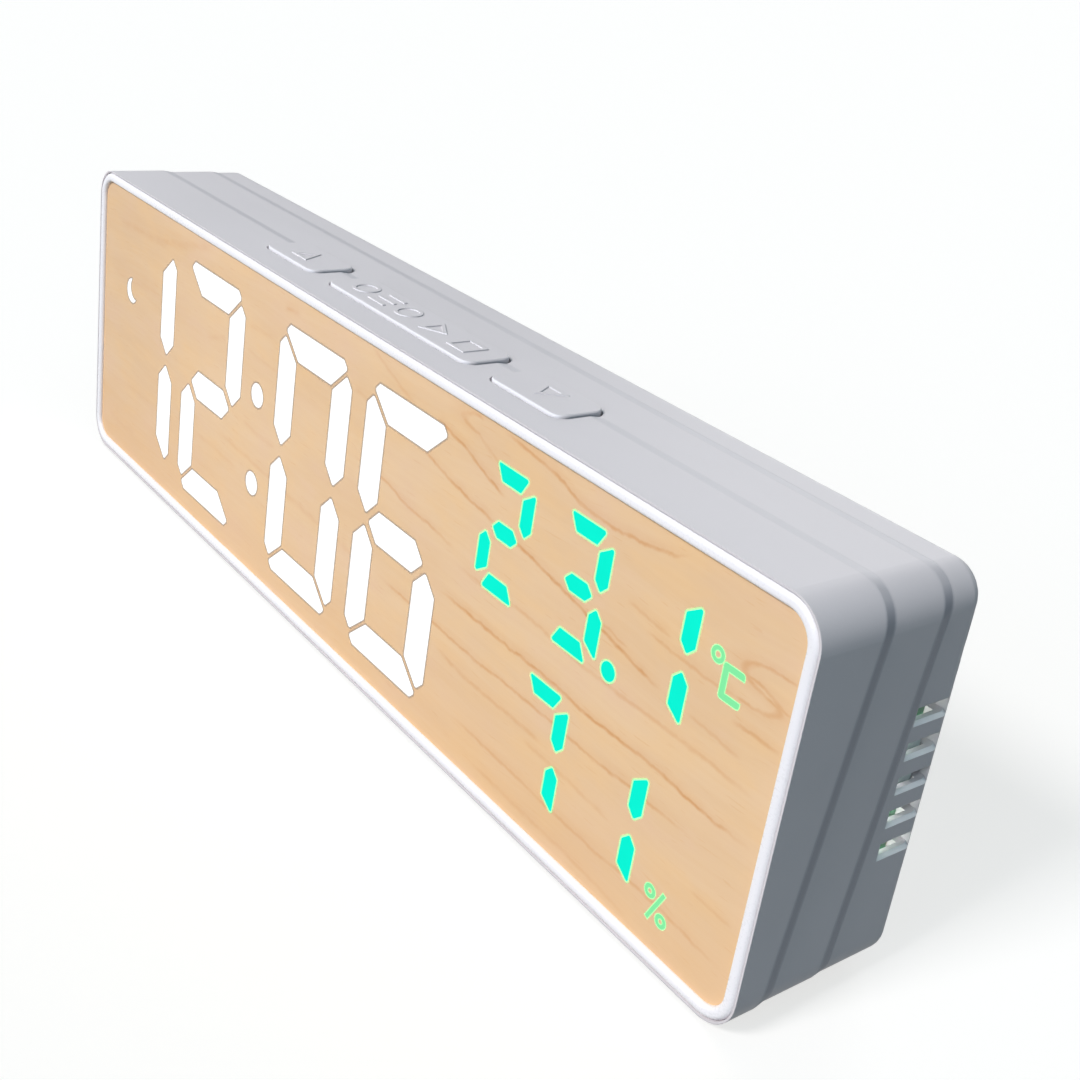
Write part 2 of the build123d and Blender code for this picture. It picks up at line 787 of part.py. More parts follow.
def draw_unit_signs():
    """The degree ring with its letter, and the percent sign."""
    with Locations((degree_x, degree_z)):
        Circle(degree_diameter / 2)
        Circle(degree_diameter / 2 - ring_stroke, mode=Mode.SUBTRACT)
    with Locations((celsius_x, celsius_z)):
        RectangleRounded(celsius_width, celsius_height, unit_stroke / 2)
    with Locations((celsius_x + unit_stroke, celsius_z)):
        Rectangle(celsius_width, celsius_height - 2 * unit_stroke, mode=Mode.SUBTRACT)
    ring_x = (percent_width - percent_ring) / 2
    ring_z = (percent_height - percent_ring) / 2 - ring_stroke / 2
    for side in (-1, 1):
        with Locations((percent_x + side * ring_x, percent_z - side * ring_z)):
            Circle(percent_ring / 2)
            Circle(percent_ring / 2 - ring_stroke, mode=Mode.SUBTRACT)
    with Locations((percent_x, percent_z)):
        Rectangle(ring_stroke, percent_height, rotation=-percent_slash_degrees)


def draw_lit_time():
    """The lit part of the time."""
    for x, shown in time_figures:
        draw_bars(big_bars, FIGURES[shown], x, time_z, big_corner_round)
    draw_time_marks()


def draw_lit_climate():
    """The lit part of the climate figures, with their point and unit signs."""
    for x, z, shown in climate_figures:
        draw_bars(small_bars, FIGURES[shown], x, z, small_corner_round)
    with Locations((point_x, point_z)):
        Circle(point_diameter / 2)
    draw_unit_signs()


def draw_time_wells():
    """Every bar of the time, lit or not, with its marks."""
    for x, shown in time_figures:
        draw_bars(big_bars, BAR_NAMES, x, time_z, 0)
    draw_time_marks()


def draw_climate_wells():
    """Every bar of the climate figures, lit or not, with plain wells behind the signs."""
    for x, z, shown in climate_figures:
        draw_bars(small_bars, BAR_NAMES, x, z, 0)
    with Locations((point_x, point_z)):
        Circle(point_diameter / 2)
    with Locations((degree_x, degree_z)):
        Circle(degree_diameter / 2)
    with Locations((celsius_x, celsius_z)):
        Rectangle(celsius_width, celsius_height)
    with Locations((percent_x, percent_z)):
        Rectangle(percent_width, percent_height)


# Wood-faced film with a clear window for every lit bar
with BuildPart() as wood_film:
    with BuildSketch(across(film_depth)):
        rounded_outline(panel_inset)
    extrude(amount=-film_thickness)
    with BuildSketch(across(film_depth)):
        draw_lit_time()
    extrude(amount=-film_thickness, mode=Mode.SUBTRACT)
    with BuildSketch(across(film_depth)):
        draw_lit_climate()
    extrude(amount=-film_thickness, mode=Mode.SUBTRACT)
save(wood_film, "wood_film")

with BuildPart() as time_windows:
    with BuildSketch(across(film_depth)):
        draw_lit_time()
    extrude(amount=-film_thickness)
save(time_windows, "time_windows")

with BuildPart() as climate_windows:
    with BuildSketch(across(film_depth)):
        draw_lit_climate()
    extrude(amount=-film_thickness)
save(climate_windows, "climate_windows")

with BuildPart() as clear_panel:
    with BuildSketch(across(panel_depth)):
        rounded_outline(panel_inset)
    extrude(amount=-panel_thickness)
save(clear_panel, "clear_panel")

with BuildPart() as display_foam:
    with BuildSketch(across(shoulder_depth)):
        RectangleRounded(2 * reflector_half_width, 2 * reflector_half_height, reflector_round)
        Rectangle(
            2 * (reflector_half_width - foam_width), 2 * (reflector_half_height - foam_width), mode=Mode.SUBTRACT
        )
    extrude(amount=-foam_thickness)
save(display_foam, "display_foam")


# Display block: a white moulding with a light well behind every bar
with BuildPart() as display_reflector:
    with BuildSketch(across(reflector_front)):
        RectangleRounded(2 * reflector_half_width, 2 * reflector_half_height, reflector_round)
    extrude(amount=-reflector_depth)
    with BuildSketch(across(reflector_front)):
        draw_time_wells()
    extrude(amount=-reflector_depth, mode=Mode.SUBTRACT)
    with BuildSketch(across(reflector_front)):
        draw_climate_wells()
    extrude(amount=-reflector_depth, mode=Mode.SUBTRACT)
save(display_reflector, "display_reflector")

with BuildPart() as time_diffusers:
    with BuildSketch(across(reflector_front)):
        draw_time_wells()
    extrude(amount=-diffuser_depth)
save(time_diffusers, "time_diffusers")

with BuildPart() as climate_diffusers:
    with BuildSketch(across(reflector_front)):
        draw_climate_wells()
    extrude(amount=-diffuser_depth)
save(climate_diffusers, "climate_diffusers")


def bar_middle(points):
    """The middle of a bar's outline."""
    count = len(points)
    return sum(u for u, v in points) / count, sum(v for u, v in points) / count


# Two light chips behind each large bar, one behind each small bar and one behind each mark
with BuildPart() as led_chips:
    with BuildSketch(across(board_front)):
        for x, shown in time_figures:
            for name, points in big_bars.items():
                u, v = bar_middle(points)
                upright_bar = "left" in name or "right" in name
                step = big_figure_height * led_rise_share
                if not upright_bar:
                    step = big_figure_width * led_side_share
                for side in (-1, 1):
                    du, dv = (0, side * step) if upright_bar else (side * step, 0)
                    with Locations((x + u + du, time_z + v + dv)):
                        Rectangle(led_length, led_width)
        for x, z, shown in climate_figures:
            for points in small_bars.values():
                u, v = bar_middle(points)
                with Locations((x + u, z + v)):
                    Rectangle(led_length, led_width)
        mark_spots = [(colon_x, z) for z in colon_heights] + [(point_x, point_z)]
        with Locations(*mark_spots):
            Rectangle(led_length, led_width)
    extrude(amount=led_height)
save(led_chips, "led_chips")

# Main board
with BuildPart() as main_board:
    with BuildSketch(across(board_front)):
        RectangleRounded(2 * board_half_width, 2 * board_half_height, board_round)
        with Locations(*post_places):
            Circle(board_screw_hole / 2, mode=Mode.SUBTRACT)
    extrude(amount=-board_thickness)
save(main_board, "main_board")


def surface_chip(name, x):
    """A chip with two rows of leads on the back of the main board."""
    pitch = chip_length / chip_lead_count
    with BuildPart() as chip:
        with BuildSketch(across(board_back + solder_stand)):
            with Locations((x, chip_z)):
                Rectangle(chip_length, chip_width)
        extrude(amount=-chip_height)
        with BuildSketch(across(board_back)):
            for side in (-1, 1):
                with Locations((x, chip_z + side * (chip_width + chip_lead_reach) / 2)):
                    with GridLocations(pitch, 0, chip_lead_count, 1):
                        Rectangle(chip_lead_width, chip_lead_reach)
        extrude(amount=-chip_lead_height)
    save(chip, name)


surface_chip("clock_chip", chip_x)
surface_chip("driver_chip", driver_chip_x)

with BuildPart() as quartz_crystal:
    crystal_axis = Plane(
        origin=(crystal_x, front_y + board_back + crystal_diameter / 2, middle_z + crystal_z),
        x_dir=(0, 1, 0), z_dir=(0, 0, 1),
    )
    with BuildSketch(crystal_axis):
        Circle(crystal_diameter / 2)
    extrude(amount=crystal_length)
save(quartz_crystal, "quartz_crystal")

with BuildPart() as buzzer:
    with BuildSketch(across(board_back)):
        with Locations((buzzer_x, buzzer_z)):
            Circle(buzzer_diameter / 2)
    extrude(amount=-buzzer_height)
    with BuildSketch(across(board_back + buzzer_height / 2)):
        with Locations((buzzer_x, buzzer_z)):
            Circle(buzzer_hole / 2)
    extrude(amount=-buzzer_height, mode=Mode.SUBTRACT)
save(buzzer, "buzzer")

with BuildPart() as supply_capacitor:
    with BuildSketch(across(board_back)):
        with Locations((capacitor_x, capacitor_z)):
            Rectangle(capacitor_base, capacitor_base)
    extrude(amount=-capacitor_base_height)
    with BuildSketch(across(board_back + capacitor_base_height)):
        with Locations((capacitor_x, capacitor_z)):
            Circle(capacitor_diameter / 2)
    extrude(amount=-(capacitor_height - capacitor_base_height))
save(supply_capacitor, "supply_capacitor")

with BuildPart() as chip_resistors:
    with BuildSketch(across(board_back)):
        with Locations((resistor_x, resistor_z)):
            with GridLocations(resistor_pitch, 0, resistor_count, 1):
                Rectangle(resistor_width, resistor_length)
    extrude(amount=-resistor_height)
save(chip_resistors, "chip_resistors")

with BuildPart() as lead_headers:
    with BuildSketch(across(board_back)):
        with Locations((sensor_header_x, 0)):
            Rectangle(header_width, header_length)
        with Locations((inlet_x, power_header_z)):
            Rectangle(header_length, header_width)
    extrude(amount=-header_height)
save(lead_headers, "lead_headers")

# Key switches, each with a bore that its plunger moves in
with BuildPart() as key_switches:
    with BuildSketch(level(switch_top)):
        for key_x, key_length in key_places.values():
            with Locations((key_x, front_y + board_back + switch_depth / 2)):
                Rectangle(switch_length, switch_depth)
                bore = (plunger_length + 2 * plunger_gap, plunger_width + 2 * plunger_gap)
    extrude(amount=-switch_height)
    with BuildSketch(level(switch_top)):
        for key_x, key_length in key_places.values():
            with Locations((key_x, front_y + board_back + switch_depth / 2)):
                Rectangle(*bore)
    extrude(amount=-plunger_bore, mode=Mode.SUBTRACT)
save(key_switches, "key_switches")


def draw_ring(x, y):
    """A small ring mark."""
    with Locations((x, y)):
        Circle(key_mark_size / 2)
        Circle(key_mark_size / 2 - key_mark_stroke, mode=Mode.SUBTRACT)


def draw_lines(x, y):
    """Three level lines, one behind the other."""
    with Locations((x, y)):
        with GridLocations(0, (key_mark_size - key_mark_stroke) / 2, 1, 3):
            Rectangle(key_mark_size, key_mark_stroke)


def draw_square(x, y):
    """An open square."""
    with Locations((x, y)):
        Rectangle(key_mark_size, key_mark_size)
        inner = key_mark_size - 2 * key_mark_stroke
        Rectangle(inner, inner, mode=Mode.SUBTRACT)


def draw_triangle(x, y, turn):
    """An open triangle whose tip points to the back, turned by an angle."""
    with Locations(Location((x, y), turn)):
        half = key_triangle_width / 2
        tip = key_triangle_height / 2
        corners = [(-half, -tip), (half, -tip), (0, tip)]
        inner_radius = half * key_triangle_height / (half + sqrt(half**2 + key_triangle_height**2))
        share = 1 - key_mark_stroke / inner_radius
        centre = inner_radius - tip
        Polygon(*corners, align=None)
        hollow = [(u * share, centre + (v - centre) * share) for u, v in corners]
        Polygon(*hollow, align=None, mode=Mode.SUBTRACT)


def key_marks(name, x, y):
    """The raised marks of one key."""
    if name == "centre_key":
        draw_ring(x + mode_marks_x - mode_mark_pitch, y)
        draw_lines(x + mode_marks_x, y)
        draw_ring(x + mode_marks_x + mode_mark_pitch, y)
        draw_triangle(x + set_marks_x - set_mark_pitch / 2, y, -90)
        draw_square(x + set_marks_x + set_mark_pitch / 2, y)
    else:
        draw_triangle(x, y, 0 if name == "left_key" else 180)


# Keys: each has a flange under the housing wall and a stem over its switch
for key_name, (key_x, key_length) in key_places.items():
    key_y = front_y + key_depth
    stem_y = front_y + board_back + switch_depth / 2
    with BuildPart() as key:
        with BuildSketch(level(flange_under)):
            with Locations((key_x, key_y)):
                RectangleRounded(key_length, key_width, key_round)
        extrude(amount=key_top - flange_under)
        fillet(key.faces().sort_by(Axis.Z)[-1].edges(), key_edge_round)
        with BuildSketch(level(flange_under)):
            with Locations((key_x, key_y)):
                flange_size = (key_length + 2 * key_flange, key_width + 2 * key_flange)
                RectangleRounded(*flange_size, key_round + key_flange)
        extrude(amount=key_flange_height)
        with BuildSketch(level(flange_under)):
            with Locations((key_x, key_y)):
                hollow = (key_length - 2 * key_side_wall, key_width - 2 * key_side_wall)
                RectangleRounded(*hollow, key_round - key_side_wall)
        extrude(amount=key_top - key_skin - flange_under, mode=Mode.SUBTRACT)
        with BuildSketch(level(plunger_top)):
            with Locations((key_x, stem_y)):
                Rectangle(plunger_length, stem_width)
        extrude(amount=key_top - key_skin - plunger_top + overrun / 2)
        with BuildSketch(level(key_top)):
            key_marks(key_name, key_x, key_y)
        extrude(amount=key_mark_height)
    save(key, key_name)
    with BuildPart() as plunger:
        with BuildSketch(level(plunger_top)):
            with Locations((key_x, stem_y)):
                Rectangle(plunger_length, plunger_width)
        extrude(amount=-(plunger_rise + plunger_root))
    save(plunger, key_name.replace("key", "plunger"))


# Cross-slotted pan screws: the main board's go in from the front, the rear cover's from the back
screw_sets = {
    "board_screws": (board_front, post_places, -1, board_screw_length),
    "cover_screws": (screw_seat, boss_places, 1, screw_seat - boss_end + cover_screw_reach),
}
screw_sizes = {
    "board_screws": (board_screw_head, board_screw_head_height, board_screw_shank),
    "cover_screws": (cover_screw_head, cover_screw_head_height, cover_screw_shank),
}
for set_name, (seat, places, toward, shank_length) in screw_sets.items():
    head, head_height, shank = screw_sizes[set_name]
    with BuildPart() as screws:
        with BuildSketch(across(seat)):
            with Locations(*places):
                Circle(head / 2)
        extrude(amount=-toward * head_height)
        with BuildSketch(across(seat)):
            with Locations(*places):
                Circle(shank / 2)
        extrude(amount=toward * shank_length)
        with BuildSketch(across(seat + toward * (head_height - cross_slot_depth))):
            with Locations(*places):
                Rectangle(head * cross_slot_share, cross_slot_width)
                Rectangle(cross_slot_width, head * cross_slot_share)
        extrude(amount=-toward * head_height, mode=Mode.SUBTRACT)
    save(screws, set_name)

# Battery cells lie side by side, each the other way round from its neighbour
with BuildPart() as battery_cells:
    for row in range(cell_count):
        facing = 1 if row % 2 == 0 else -1
        z = ((cell_count - 1) / 2 - row) * cell_pitch
        tail_end = bay_x + facing * cell_shift - facing * cell_length / 2
        for radius, reach in ((cell_diameter / 2, cell_body_length), (cell_nub_diameter / 2, cell_length)):
            with BuildSketch(upright(tail_end)):
                with Locations((cell_depth, z)):
                    Circle(radius)
            extrude(amount=facing * reach)
save(battery_cells, "battery_cells")

# Contacts: a plate at each end of a cell, with a dimple for its nub or a sprung leaf for its base
with BuildPart() as battery_contacts:
    contact_rows = {1: ((0,), (1, 2)), -1: ((0, 1), (2,))}
    for side, groups in contact_rows.items():
        wall_x = bay_x + side * bay_length / 2
        for group in groups:
            rows = [((cell_count - 1) / 2 - row) * cell_pitch for row in group]
            centre = sum(rows) / len(rows)
            height = contact_width + (len(rows) - 1) * cell_pitch
            with BuildSketch(upright(wall_x)):
                with Locations((cell_depth, centre)):
                    Rectangle(contact_width, height)
            extrude(amount=-side * contact_sheet)
            for row, z in zip(group, rows):
                facing = 1 if row % 2 == 0 else -1
                face = wall_x - side * contact_sheet
                if facing == side:
                    with BuildSketch(upright(face)):
                        with Locations((cell_depth, z)):
                            Circle(contact_dimple_diameter / 2)
                    extrude(amount=-side * contact_dimple)
                else:
                    leaf = [
                        (face, contact_width / 2 - contact_sheet),
                        (face - side * contact_spring_length, 0),
                        (face, -contact_width / 2 + contact_sheet),
                        (face, -contact_width / 2 + 2 * contact_sheet),
                        (face - side * (contact_spring_length - contact_sheet), 0),
                        (face, contact_width / 2 - 2 * contact_sheet),
                    ]
                    with BuildSketch(Plane.XY.offset(middle_z + z - contact_spring_width / 2)):
                        points = [(x, front_y + cell_depth + y) for x, y in leaf]
                        Polygon(*points, align=None)
                    extrude(amount=contact_spring_width)
        with BuildSketch(upright(wall_x)):
            with Locations((cell_depth, side * cell_pitch)):
                Rectangle(contact_sheet, contact_tail_height)
        extrude(amount=side * contact_tail_length)
save(battery_contacts, "battery_contacts")

# Battery door, hooked in at its left-hand edge and pressed shut at the other
with BuildPart() as battery_door:
    with BuildSketch(across(door_under)):
        with Locations((bay_x, 0)):
            RectangleRounded(door_length, door_height, door_round)
    extrude(amount=-door_thickness)
    tab_reach = door_tab_length + door_round
    with BuildSketch(across(door_under)):
        for spot in tab_spots:
            with Locations((door_hinge_x - door_tab_length + tab_reach / 2, spot)):
                Rectangle(tab_reach, door_tab_width)
    extrude(amount=-door_tab_thickness)
    latch_x = bay_x + door_length / 2
    with BuildSketch(across(door_under)):
        for side in (-1, 1):
            with Locations((latch_x - latch_length / 2, side * (latch_width + latch_slit) / 2)):
                Rectangle(latch_length, latch_slit)
    extrude(amount=-door_thickness, mode=Mode.SUBTRACT)
    with BuildSketch(across(body_depth - grip_depth)):
        with Locations((latch_x - latch_length / 2, 0)):
            with GridLocations(grip_pitch, 0, grip_count, 1):
                Rectangle(grip_width, latch_width - 2 * grip_width)
    extrude(amount=-grip_depth, mode=Mode.SUBTRACT)
save(battery_door, "battery_door")

# Power inlet on its own small board
with BuildPart() as power_board:
    with BuildSketch(across(power_board_back - power_board_length)):
        with Locations((inlet_x, power_board_z)):
            Rectangle(power_board_width, power_board_thickness)
    extrude(amount=-power_board_length)
save(power_board, "power_board")

with BuildPart() as power_inlet:
    with BuildSketch(across(inlet_front)):
        with Locations((inlet_x, inlet_z)):
            SlotOverall(inlet_width, inlet_height)
    extrude(amount=-inlet_length)
    with BuildSketch(across(inlet_front)):
        with Locations((inlet_x, inlet_z)):
            SlotOverall(inlet_width - 2 * inlet_wall, inlet_height - 2 * inlet_wall)
    extrude(amount=-body_depth, mode=Mode.SUBTRACT)
save(power_inlet, "power_inlet")

with BuildPart() as inlet_insulator:
    core_wall = inlet_wall + touch_gap
    with BuildSketch(across(inlet_front)):
        with Locations((inlet_x, inlet_z)):
            SlotOverall(inlet_width - 2 * core_wall, inlet_height - 2 * core_wall)
    extrude(amount=-inlet_block_length)
    with BuildSketch(across(inlet_front)):
        with Locations((inlet_x, inlet_z)):
            Rectangle(inlet_tongue_width, inlet_tongue_thickness)
    extrude(amount=-(inlet_length - inlet_setback))
save(inlet_insulator, "inlet_insulator")

# Sensor board beside the air slots
sensor_board_inner = sensor_board_face - sensor_board_thickness
with BuildPart() as sensor_board:
    board_reach = back_inner - fit_gap - sensor_board_front
    with BuildSketch(upright(sensor_board_inner)):
        with Locations((sensor_board_front + board_reach / 2, vent_centre)):
            Rectangle(board_reach, sensor_board_height)
    extrude(amount=sensor_board_thickness)
save(sensor_board, "sensor_board")

with BuildPart() as air_sensor:
    with BuildSketch(upright(sensor_board_face)):
        with Locations((sensor_centre_depth, vent_centre)):
            Rectangle(sensor_depth, sensor_height)
    extrude(amount=sensor_thickness)
save(air_sensor, "air_sensor")


# Wires inside the housing, each a round run with bends from its first point to its last
header_top = front_y + board_back + header_height
sensor_turn = header_top + lead_rise
power_turn = header_top + lead_rise
lead_routes = {"sensor_leads": [], "power_leads": [], "battery_leads": []}
for step in (-1, 0, 1):
    z = middle_z + step * lead_pitch
    route = [(sensor_header_x, header_top, z), (sensor_header_x, sensor_turn, z)]
    lead_routes["sensor_leads"].append(route + [(sensor_board_inner, sensor_turn, z)])
for side in (-1, 1):
    x = inlet_x + side * lead_pitch / 2
    z = middle_z + power_header_z
    route = [(x, header_top, z), (x, power_turn, z)]
    lead_routes["power_leads"].append(route + [(x, power_turn, middle_z + power_board_top)])
    tail_tip = bay_x + side * (bay_length / 2 + contact_tail_length)
    turn_x = tail_tip + side * 2 * lead_bend
    tail_y = front_y + cell_depth
    z = middle_z + side * cell_pitch
    route = [(tail_tip, tail_y, z), (turn_x, tail_y, z)]
    lead_routes["battery_leads"].append(route + [(turn_x, front_y + board_back, z)])
for lead_name, routes in lead_routes.items():
    with BuildPart() as leads:
        for route in routes:
            with BuildLine() as path:
                FilletPolyline(*route, radius=lead_bend)
            with BuildSketch(Plane(origin=path.line @ 0, z_dir=path.line % 0)):
                Circle(lead_diameter / 2)
            sweep(path=path.line)
    save(leads, lead_name)

# Rubber feet set into pockets under the housing
with BuildPart() as rubber_feet:
    with BuildSketch(Plane.XY):
        with Locations(*foot_places):
            Circle(foot_diameter / 2)
    extrude(amount=foot_thickness)
    ground_edges = rubber_feet.faces().filter_by(Axis.Z).group_by(Axis.Z)[0].edges()
    fillet(ground_edges, foot_edge_round)
save(rubber_feet, "rubber_feet")
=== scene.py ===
import math

import bmesh
import bpy
from mathutils import Matrix, Vector


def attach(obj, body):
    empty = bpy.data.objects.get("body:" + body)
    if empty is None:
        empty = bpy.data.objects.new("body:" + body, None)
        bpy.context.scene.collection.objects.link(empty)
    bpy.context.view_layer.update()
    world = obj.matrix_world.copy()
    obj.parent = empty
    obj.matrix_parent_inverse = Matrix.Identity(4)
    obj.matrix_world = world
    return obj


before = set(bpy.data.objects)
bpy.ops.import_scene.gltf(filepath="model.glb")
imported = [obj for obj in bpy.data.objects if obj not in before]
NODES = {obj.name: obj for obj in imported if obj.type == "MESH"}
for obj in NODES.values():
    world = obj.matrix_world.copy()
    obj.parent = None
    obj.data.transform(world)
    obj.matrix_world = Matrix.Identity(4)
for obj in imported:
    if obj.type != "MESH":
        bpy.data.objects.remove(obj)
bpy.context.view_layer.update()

# Places on the object, in metres. X runs along the face, Y to the back, Z up from the table.
FACE_MIDDLE = 0.0287  # height of the middle of the face
HALF_DEPTH = 0.014
STEP_LEAN = 0.1157  # how far the housing's steps lean back for each unit of height
LEDGES = (0.0084, 0.01845)  # how far behind the front each ledge is, at the face's middle height
LEDGE_CORE, LEDGE_REACH = 0.0005, 0.0013  # half widths of a ledge's full and outermost shade
SLOTS_START, SLOTS_TOP = 0.0062, 0.045  # the air slots lie behind this depth and below this height
UPPER_SIGN, LOWER_SIGN = 0.0785, 0.0760  # where the unit sign of each row of small figures starts

MM_PER_METRE = 1000.0
BLACK = (0.0, 0.0, 0.0)
WHITE = (1.0, 1.0, 1.0)


# ---- node helpers ------------------------------------------------------------------------------

class Nodes:
    """A cleared node tree, with short calls for the nodes that the looks here use."""

    def __init__(self, tree):
        self.tree = tree
        tree.nodes.clear()

    def node(self, kind, **settings):
        made = self.tree.nodes.new(kind)
        for key, value in settings.items():
            setattr(made, key, value)
        return made

    def link(self, source, target):
        """Links a socket to the target, or sets the target to a constant."""
        if isinstance(source, bpy.types.NodeSocket):
            self.tree.links.new(source, target)
        else:
            target.default_value = source

    def math(self, operation, a, b=0.0):
        made = self.node("ShaderNodeMath", operation=operation)
        self.link(a, made.inputs[0])
        self.link(b, made.inputs[1])
        return made.outputs[0]

    def add(self, a, b):
        return self.math("ADD", a, b)

    def sub(self, a, b):
        return self.math("SUBTRACT", a, b)

    def mul(self, a, b):
        return self.math("MULTIPLY", a, b)

    def seen(self, rays):
        """1 for the rays that show the white surroundings, 0 for those that only light things."""
        direct = self.math("MAXIMUM", rays["Is Camera Ray"], rays["Is Glossy Ray"])
        return self.math("MAXIMUM", direct, rays["Is Transmission Ray"])


class Shader(Nodes):
    """The node tree of a new material."""

    def __init__(self, name):
        self.material = bpy.data.materials.new(name)
        self.material.use_nodes = True
        super().__init__(self.material.node_tree)
        self.output = self.node("ShaderNodeOutputMaterial")
        self.coords = self.node("ShaderNodeTexCoord").outputs["Object"]

    def split(self, vector=None):
        made = self.node("ShaderNodeSeparateXYZ")
        self.link(vector or self.coords, made.inputs[0])
        return made.outputs

    def facing(self):
        """The three parts of the mesh's own normal."""
        return self.split(self.node("ShaderNodeTexCoord").outputs["Normal"])

    def join(self, x, y, z):
        made = self.node("ShaderNodeCombineXYZ")
        for socket, value in zip(made.inputs, (x, y, z)):
            self.link(value, socket)
        return made.outputs[0]

    def scaled(self, x, y, z):
        """The place on the object, stretched along the axes."""
        made = self.node("ShaderNodeMapping")
        self.link(self.coords, made.inputs["Vector"])
        made.inputs["Scale"].default_value = (x, y, z)
        return made.outputs[0]

    def noise(self, scale, detail=2.0, roughness=0.5, vector=None):
        made = self.node("ShaderNodeTexNoise")
        self.link(vector or self.coords, made.inputs["Vector"])
        made.inputs["Scale"].default_value = scale
        made.inputs["Detail"].default_value = detail
        made.inputs["Roughness"].default_value = roughness
        return made.outputs["Fac"]

    def span(self, value, low, high, to_low=0.0, to_high=1.0, smooth=False):
        """Maps low..high to to_low..to_high and holds the value outside."""
        made = self.node("ShaderNodeMapRange")
        made.interpolation_type = "SMOOTHSTEP" if smooth else "LINEAR"
        limits = {"Value": value, "From Min": low, "From Max": high,
                  "To Min": to_low, "To Max": to_high}
        for name, limit in limits.items():
            self.link(limit, made.inputs[name])
        return made.outputs["Result"]

    def mix(self, factor, a, b):
        """A colour from a to b. Colours are tuples of three or sockets."""
        made = self.node("ShaderNodeMix", data_type="RGBA")
        self.link(factor, made.inputs[0])
        for socket, value in ((made.inputs[6], a), (made.inputs[7], b)):
            self.link(rgba(value) if isinstance(value, tuple) else value, socket)
        return made.outputs[2]

    def bump(self, height, distance, strength, normal=None):
        made = self.node("ShaderNodeBump")
        made.inputs["Strength"].default_value = strength
        made.inputs["Distance"].default_value = distance
        self.link(height, made.inputs["Height"])
        if normal is not None:
            self.link(normal, made.inputs["Normal"])
        return made.outputs["Normal"]

    def rounded(self, radius):
        """A normal that softens sharp edges."""
        made = self.node("ShaderNodeBevel", samples=4)
        made.inputs["Radius"].default_value = radius
        return made.outputs["Normal"]

    def surface(self, **values):
        """The main shader. Values are constants or sockets, named as its inputs, _ for a space."""
        made = self.node("ShaderNodeBsdfPrincipled")
        for key, value in values.items():
            socket = made.inputs[key.replace("_", " ")]
            self.link(rgba(value) if isinstance(value, tuple) else value, socket)
        self.tree.links.new(made.outputs[0], self.output.inputs["Surface"])


def linear(value):
    value /= 255
    return value / 12.92 if value <= 0.04045 else ((value + 0.055) / 1.055) ** 2.4


def srgb(r, g, b):
    """A colour given as screen values from 0 to 255."""
    return linear(r), linear(g), linear(b)


def rgba(colour):
    return (*colour, 1.0)


def shade(colour, factor):
    return tuple(c * factor for c in colour)


# ---- materials ---------------------------------------------------------------------------------

SPARK_GRAIN = 0.00035  # size of the grain that a mould's texture leaves
COPPER_HALF_PITCH = 0.0011  # half the distance between two copper runs on a board


def stepped(s, tint):
    """The housing's tint with painted shade towards the back and on the ledges, and a painted
    highlight on the paler slot edges.

    Returns the tint, and a mask that is 1 on the slanted lower edges of the air slots.
    """
    _, y, z = s.split()
    facing_x, _, facing_z = s.facing()
    behind = s.sub(s.add(y, HALF_DEPTH), s.mul(s.sub(z, FACE_MIDDLE), STEP_LEAN))
    # Painted shade: the tint darkens towards the back of the housing.
    tint = s.mix(s.span(behind, 0.0, 2 * HALF_DEPTH, 0.0, 0.06), tint, BLACK)
    # Painted shade on the ledges between the housing's sections, stronger on the upright sides than
    # on the top.
    painted_ledge_shade = 0.0
    for middle in LEDGES:
        away = s.math("ABSOLUTE", s.sub(behind, middle))
        near = s.span(away, LEDGE_CORE, LEDGE_REACH, 1.0, 0.0, smooth=True)
        painted_ledge_shade = s.math("MAXIMUM", near, painted_ledge_shade)
    amount = s.span(s.math("ABSOLUTE", facing_x), 0.7, 1.0, 0.15, 0.52)
    tint = s.mix(s.mul(painted_ledge_shade, amount), tint, srgb(52, 72, 104))
    # Painted highlight: the slanted lower edges of the air slots are made near white; the same mask
    # gives them a glossy coat.
    slanted = s.mul(s.span(facing_x, 0.45, 0.6), s.span(facing_z, 0.45, 0.6))
    slots = s.mul(s.math("GREATER_THAN", y, SLOTS_START), s.math("LESS_THAN", z, SLOTS_TOP))
    slot_edge_painted_highlight = s.mul(slanted, slots)
    return s.mix(slot_edge_painted_highlight, tint, srgb(252, 252, 253)), slot_edge_painted_highlight


def plastic(name, colour, roughness, depth=0.000006, mottle=0.03, edge=0.00015, coat=0.0,
            level=0.5, steps=False, painted_wall_light=None):
    """Moulded plastic: a fine spark-eroded grain, a faint flow mottle and softened edges.

    depth is the grain's, and edge is the radius of the edges. steps is for the stepped housing,
    whose slot edges are glossy, with painted shade and a painted highlight. painted_wall_light is
    a paler colour painted as light on upright faces that look to the front.
    """
    s = Shader(name)
    flow = s.noise(38.0, 3.0, 0.55, s.scaled(0.5, 1.0, 1.0))
    fine = s.noise(1.0 / SPARK_GRAIN, 2.0, 0.6)
    tint = s.mix(s.span(flow, 0.3, 0.7), shade(colour, 1 - mottle), shade(colour, 1 + mottle))
    if steps:
        tint, coat = stepped(s, tint)
    # Painted light: upright faces that look to the front are made paler, as if lit.
    if painted_wall_light:
        tint = s.mix(s.span(s.facing()[1], -0.35, -0.75, smooth=True), tint, painted_wall_light)
    uneven = s.add(s.mul(fine, 0.6), s.mul(flow, 0.4))
    rough = s.span(uneven, 0.3, 0.7, roughness - 0.05, roughness + 0.06)
    s.surface(Base_Color=tint, Roughness=rough, Normal=s.bump(fine, depth, 0.8, s.rounded(edge)),
              Coat_Weight=coat, Coat_Roughness=0.2, Coat_IOR=1.9 if steps else 1.5,
              Specular_IOR_Level=level)
    return s.material


